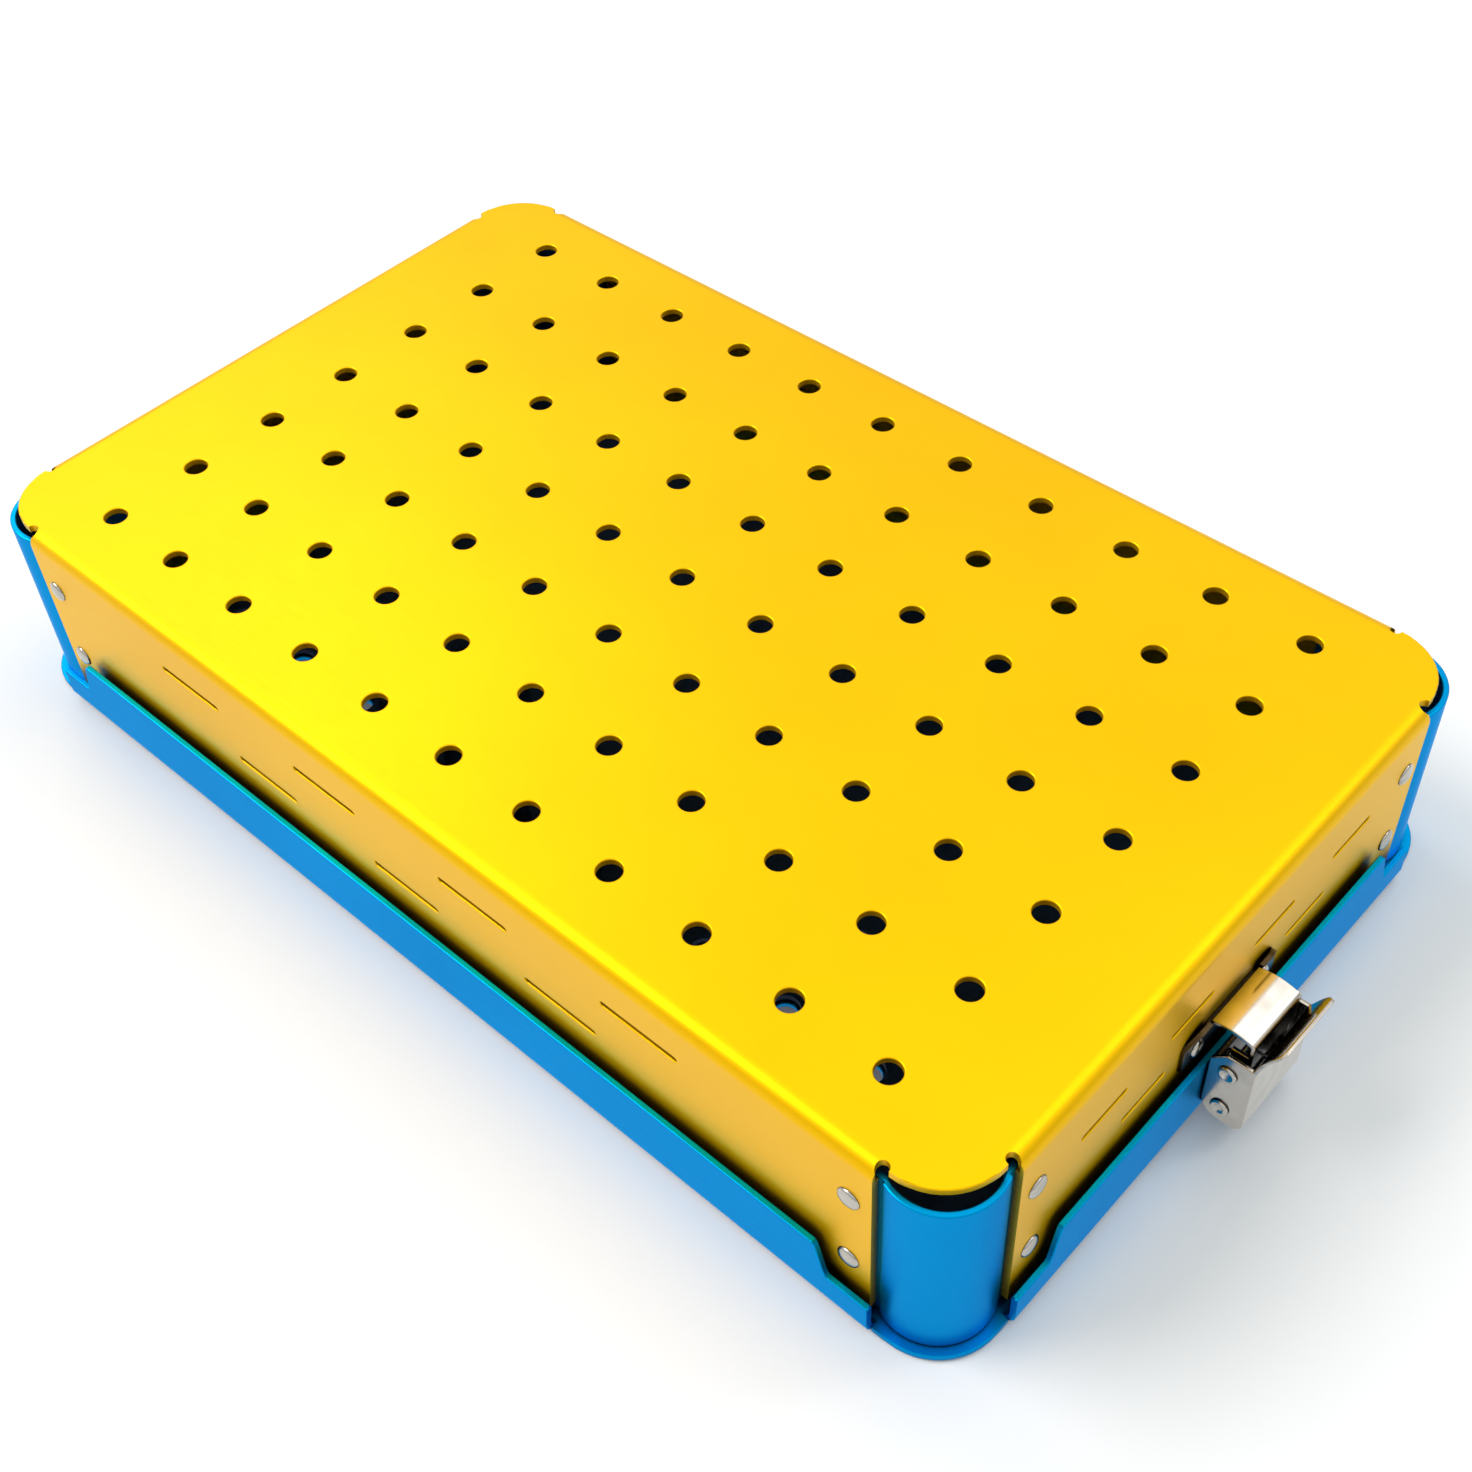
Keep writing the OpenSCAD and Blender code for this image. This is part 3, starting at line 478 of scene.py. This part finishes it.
# %% Turned shapes and stations
def turned(name, profile, steps=32):
    """A closed mesh turned about Z from (radius, height) pairs in mm, foot first."""
    form = bmesh.new()
    rings = []
    for radius, height in profile:
        if radius == 0:
            rings.append([form.verts.new((0, 0, height * MM))])
        else:
            rings.append([form.verts.new((radius * MM * math.cos(2 * math.pi * k / steps),
                                          radius * MM * math.sin(2 * math.pi * k / steps),
                                          height * MM)) for k in range(steps)])
    for low, high in zip(rings, rings[1:]):
        for k in range(steps):
            j = (k + 1) % steps
            if len(low) == 1:
                form.faces.new((low[0], high[j], high[k]))
            elif len(high) == 1:
                form.faces.new((low[k], low[j], high[0]))
            else:
                form.faces.new((low[k], low[j], high[j], high[k]))
    bmesh.ops.recalc_face_normals(form, faces=form.faces)
    mesh = bpy.data.meshes.new(name)
    form.to_mesh(mesh)
    form.free()
    smooth_below(mesh, 50)
    return bpy.data.objects.new(name, mesh)


def solids_of(node):
    """The boxes of a node's separate solids, as (lowest, highest) corners."""
    form = bmesh.new()
    form.from_mesh(nodes[node].data)
    bmesh.ops.remove_doubles(form, verts=form.verts, dist=WELD)
    left = set(form.verts)
    boxes = []
    while left:
        island = [left.pop()]
        for vert in island:
            for edge in vert.link_edges:
                other = edge.other_vert(vert)
                if other in left:
                    left.discard(other)
                    island.append(other)
        points = [v.co for v in island]
        boxes.append((Vector([min(p[i] for p in points) for i in range(3)]),
                      Vector([max(p[i] for p in points) for i in range(3)])))
    form.free()
    return boxes


SHORT_WALL = 0.115  # m; rivets farther out along X sit on a short wall


def rivet_stations(node, head_mm):
    """For each rivet of a node: the point where its head meets the wall, and its axis."""
    stations = []
    for a, b in solids_of(node):
        centre = (a + b) / 2
        across = 0 if abs(centre.x) > SHORT_WALL else 1
        way = 1 if centre[across] > 0 else -1
        face = centre.copy()
        face[across] = (b[across] if way > 0 else a[across]) - way * head_mm * MM
        axis = Vector((0, 0, 0))
        axis[across] = way
        stations.append((face, axis))
    return stations


print("lid rivets", len(rivet_stations("lid_rivets", 0.8)))


# %% Geometry Nodes tree for rivets and fingers
def station_tree():
    tree = bpy.data.node_groups.new("set one template at every station", "GeometryNodeTree")
    face = tree.interface
    face.new_socket("Geometry", in_out="INPUT", socket_type="NodeSocketGeometry")
    for label, kind in (("Template", "NodeSocketObject"), ("Finish", "NodeSocketMaterial"),
                        ("Size", "NodeSocketFloat"), ("Size spread", "NodeSocketFloat"),
                        ("Seed", "NodeSocketInt")):
        face.new_socket(label, in_out="INPUT", socket_type=kind)
    face.new_socket("Geometry", in_out="OUTPUT", socket_type="NodeSocketGeometry")
    given = add_node(tree, "NodeGroupInput")
    axis = add_node(tree, "GeometryNodeInputNamedAttribute", {"data_type": "FLOAT_VECTOR"},
                    {"Name": "axis"})
    stand = add_node(tree, "FunctionNodeAlignRotationToVector", {"axis": "Z"}, None,
                     {"Vector": axis.outputs["Attribute"]})
    turn = add_node(tree, "FunctionNodeRandomValue", {"data_type": "FLOAT"},
                    {2: 0.0, 3: 2 * math.pi}, {"Seed": given.outputs["Seed"]})
    spin = add_node(tree, "ShaderNodeCombineXYZ", None, None, {"Z": turn.outputs[1]})
    own = add_node(tree, "FunctionNodeEulerToRotation", None, None, {0: spin.outputs[0]})
    both = add_node(tree, "FunctionNodeRotateRotation", {"rotation_space": "LOCAL"}, None,
                    {"Rotation": stand.outputs[0], "Rotate By": own.outputs[0]})
    least = add_node(tree, "ShaderNodeMath", {"operation": "SUBTRACT"}, None,
                     {0: given.outputs["Size"], 1: given.outputs["Size spread"]})
    size = add_node(tree, "FunctionNodeRandomValue", {"data_type": "FLOAT"}, None,
                    {2: least.outputs[0], 3: given.outputs["Size"], "Seed": given.outputs["Seed"]})
    template = add_node(tree, "GeometryNodeObjectInfo", None, {"As Instance": True},
                        {"Object": given.outputs["Template"]})
    copies = add_node(tree, "GeometryNodeInstanceOnPoints", None, None,
                      {"Points": given.outputs["Geometry"], "Instance": template.outputs["Geometry"],
                       "Rotation": both.outputs[0], "Scale": size.outputs[1]})
    real = add_node(tree, "GeometryNodeRealizeInstances", None, None,
                    {"Geometry": copies.outputs[0]})
    painted = add_node(tree, "GeometryNodeSetMaterial", None, None,
                       {"Geometry": real.outputs[0], "Material": given.outputs["Finish"]})
    add_node(tree, "NodeGroupOutput", None, None, {0: painted.outputs[0]})
    return tree


def run_tree(tree, source, inputs, name):
    """Runs a Geometry Nodes tree on an object and returns the result as a plain mesh."""
    modifier = source.modifiers.new("nodes", "NODES")
    modifier.node_group = tree
    for item in tree.interface.items_tree:
        if item.in_out == "INPUT" and item.name in inputs:
            modifier[item.identifier] = inputs[item.name]
    return plain_mesh(source, name)


def at_stations(name, stations, template, finish, size=1.0, spread=0.0, seed=1):
    mesh = bpy.data.meshes.new(name + "_points")
    mesh.from_pydata([tuple(p) for p, _ in stations], [], [])
    axes = mesh.attributes.new("axis", "FLOAT_VECTOR", "POINT")
    for k, (_, direction) in enumerate(stations):
        axes.data[k].vector = direction
    cloud = bpy.data.objects.new(name + "_points", mesh)
    scene.collection.objects.link(cloud)
    piece = run_tree(STATIONS, cloud, {"Template": template, "Finish": finish, "Size": size,
                                       "Size spread": spread, "Seed": seed}, name)
    print(name, len(stations), "copies,", len(piece.data.polygons), "faces")
    return piece


STATIONS = station_tree()


# %% Rivets
def domed_rivet(name, shank, head, head_h, grip, tail, tail_h):
    """Profile of a set rivet: flat tail inside, shank, domed head with a soft rim."""
    return turned(name, [(0, -grip - tail_h), (tail / 2 - 0.15, -grip - tail_h),
                         (tail / 2, -grip - tail_h + 0.15), (tail / 2, -grip),
                         (shank / 2, -grip), (shank / 2, 0), (head / 2 - 0.06, 0),
                         (head / 2, 0.08), (head / 2 - 0.05, 0.22), (head / 2 - 0.22, 0.42),
                         (head / 2 - 0.55, 0.58), (head / 2 - 1.0, 0.70 * head_h / 0.8),
                         (head / 2 - 1.5, 0.96 * head_h), (0, head_h)])


lid_rivet = domed_rivet("lid_rivet_template", 2.5, 4.4, 0.8, 2.7, 3.6, 0.5)
keeper_rivet = domed_rivet("keeper_rivet_template", 2.2, 3.6, 0.7, 2.3, 3.4, 0.5)
bracket_rivet = domed_rivet("bracket_rivet_template", 2.2, 4.0, 0.7, 2.0, 3.4, 0.5)
for node, template, head_h, seed in (("lid_rivets", lid_rivet, 0.8, 3),
                                     ("keeper_rivets_right", keeper_rivet, 0.7, 4),
                                     ("keeper_rivets_left", keeper_rivet, 0.7, 5),
                                     ("bracket_rivets_right", bracket_rivet, 0.7, 6),
                                     ("bracket_rivets_left", bracket_rivet, 0.7, 7)):
    piece = at_stations(node + "_set", rivet_stations(node, head_h), template, rivet_metal, seed=seed)
    take_place(piece, node, rivet_metal)

# %% [markdown]
# Each latch pin is a tubular rivet: its end is rolled over, which leaves a
# round rim with a dimple in it. It is turned, like the real one.

# %% Latch pins
for node in ("lever_pin_right", "hook_pin_right", "lever_pin_left", "hook_pin_left"):
    low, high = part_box(node)
    half = (high.y - low.y) / 2 / MM
    rim = [(1.0, half - 0.6), (1.72, half - 0.6), (1.8, half - 0.5), (1.78, half - 0.28),
           (1.62, half - 0.08), (1.35, half), (1.05, half - 0.06), (0.8, half - 0.3),
           (0.55, half - 0.38), (0, half - 0.38)]
    profile = [(r, -z) for r, z in reversed(rim)] + rim
    pin = turned(node + "_turned", profile, 40)
    scene.collection.objects.link(pin)
    centre = (low + high) / 2
    pin.data.transform(Matrix.Translation(centre) @ Matrix.Rotation(math.pi / 2, 4, "X"))
    take_place(pin, node, rivet_metal)
    print(pin.name, "half length", round(half, 2), "mm")

# %% [markdown]
# The hook's torsion spring is wound from 0.6 mm wire. Its path is worked out
# as a short leg and four turns, and Geometry Nodes sweep the wire's round
# section along that path.


# %% Torsion springs
def wire_tree():
    tree = bpy.data.node_groups.new("sweep a round wire along a path", "GeometryNodeTree")
    face = tree.interface
    face.new_socket("Geometry", in_out="INPUT", socket_type="NodeSocketGeometry")
    for label, kind in (("Wire radius", "NodeSocketFloat"), ("Sides", "NodeSocketInt"),
                        ("Finish", "NodeSocketMaterial")):
        face.new_socket(label, in_out="INPUT", socket_type=kind)
    face.new_socket("Geometry", in_out="OUTPUT", socket_type="NodeSocketGeometry")
    given = add_node(tree, "NodeGroupInput")
    path = add_node(tree, "GeometryNodeMeshToCurve", None, None, {"Mesh": given.outputs["Geometry"]})
    ring = add_node(tree, "GeometryNodeCurvePrimitiveCircle", None, None,
                    {"Resolution": given.outputs["Sides"], "Radius": given.outputs["Wire radius"]})
    swept = add_node(tree, "GeometryNodeCurveToMesh", None, {"Fill Caps": True},
                     {"Curve": path.outputs[0], "Profile Curve": ring.outputs["Curve"]})
    soft = add_node(tree, "GeometryNodeSetShadeSmooth", None, None, {"Geometry": swept.outputs[0]})
    real = add_node(tree, "GeometryNodeRealizeInstances", None, None, {"Geometry": soft.outputs[0]})
    painted = add_node(tree, "GeometryNodeSetMaterial", None, None,
                       {"Geometry": real.outputs[0], "Material": given.outputs["Finish"]})
    add_node(tree, "NodeGroupOutput", None, None, {0: painted.outputs[0]})
    return tree


WIRES = wire_tree()
WIRE = 0.6
TURNS = 4
MEAN = 1.45


def spring_path(side):
    """Points of the +X spring in mm; side -1 mirrors them to the other end."""
    pin_x, pin_z, front_in, web_x = 131.8, 17.5, 135.6, 134.6
    leg_y = (TURNS * WIRE - WIRE) / 2
    steps = 24
    points = [(front_in - 0.1, -leg_y, pin_z - MEAN)]
    total = TURNS + 0.25 - 1
    for k in range(int(total * steps) + 1):
        angle = -math.pi / 2 - 2 * math.pi * k / steps
        points.append((pin_x + MEAN * math.cos(angle), -leg_y + 2 * leg_y * k / (total * steps),
                       pin_z + MEAN * math.sin(angle)))
    return [(side * x * MM, y * MM, z * MM) for x, y, z in points]


for side, label in ((1, "right"), (-1, "left")):
    points = spring_path(side)
    mesh = bpy.data.meshes.new("spring_path_" + label)
    mesh.from_pydata(points, [(i, i + 1) for i in range(len(points) - 1)], [])
    path = bpy.data.objects.new("spring_path_" + label, mesh)
    scene.collection.objects.link(path)
    spring = run_tree(WIRES, path, {"Wire radius": WIRE / 2 * MM, "Sides": 12, "Finish": rivet_metal},
                      "hook_spring_" + label + "_wound")
    take_place(spring, "hook_spring_" + label, rivet_metal)
    print(spring.name, len(spring.data.polygons), "faces")

# %% [markdown]
# The mat is one moulding: a perforated sheet with rows of soft fingers that
# hold the instruments apart. The sheet is a flat curve with a hole for every
# circle, thickened with a round edge, and the fingers are instanced on a grid.

# %% Silicone mat
low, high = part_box("silicone_mat")
mat_foot = low.z
half_x, half_y = high.x, high.y
sheet_t = 2 * MM
PITCH = 20 * MM
outline = bpy.data.curves.new("mat_outline", "CURVE")
outline.dimensions = "2D"
outline.fill_mode = "BOTH"
corner = 6 * MM
soft_edge = 0.4 * MM


def add_loop(curve, points):
    spline = curve.splines.new("POLY")
    spline.points.add(len(points) - 1)
    for k, (x, y) in enumerate(points):
        spline.points[k].co = (x, y, 0, 1)
    spline.use_cyclic_u = True


rim = []
for quarter, (sx, sy) in enumerate(((1, 1), (-1, 1), (-1, -1), (1, -1))):
    for k in range(9):
        angle = math.pi / 2 * (quarter + k / 8)
        rim.append((sx * (half_x - corner) + (corner - soft_edge) * math.cos(angle),
                    sy * (half_y - corner) + (corner - soft_edge) * math.sin(angle)))
add_loop(outline, rim)
for i in range(11):
    for j in range(7):
        add_loop(outline, [((i - 5) * PITCH + (3 * MM + soft_edge) * math.cos(2 * math.pi * k / 24),
                            (j - 3) * PITCH + (3 * MM + soft_edge) * math.sin(2 * math.pi * k / 24))
                           for k in range(24)])
outline.extrude = sheet_t / 2 - soft_edge
outline.bevel_depth = soft_edge
outline.bevel_resolution = 2
flat = bpy.data.objects.new("mat_outline", outline)
scene.collection.objects.link(flat)
mat_sheet = plain_mesh(flat, "mat_sheet")
mat_sheet.data.transform(Matrix.Translation((0, 0, mat_foot + sheet_t / 2)))
smooth_below(mat_sheet.data, 40)
finger = turned("finger_template", [(0, -0.5), (2.0, -0.5), (2.0, 0), (1.9, 1.2), (1.75, 3.5),
                                    (1.6, 6.0), (1.5, 7.0), (1.25, 7.6), (0.7, 7.93), (0, 8.0)], 20)
stations = [(Vector(((i - 5.5) * PITCH, (j - 3) * PITCH, mat_foot + sheet_t)), Vector((0, 0, 1)))
            for i in range(12) for j in range(7)]
fingers = at_stations("mat_fingers", stations, finger, silicone, seed=11)
for piece in (mat_sheet, fingers):
    take_place(piece, "silicone_mat", silicone)
print("mat", [round(v / MM, 2) for v in (*low, *high)])

# %% [markdown]
# The picture's colours are left as they are written: the Standard view.

# %% Finish
scene.view_settings.view_transform = "Standard"
for template in (lid_rivet, keeper_rivet, bracket_rivet, finger):
    bpy.data.objects.remove(template)
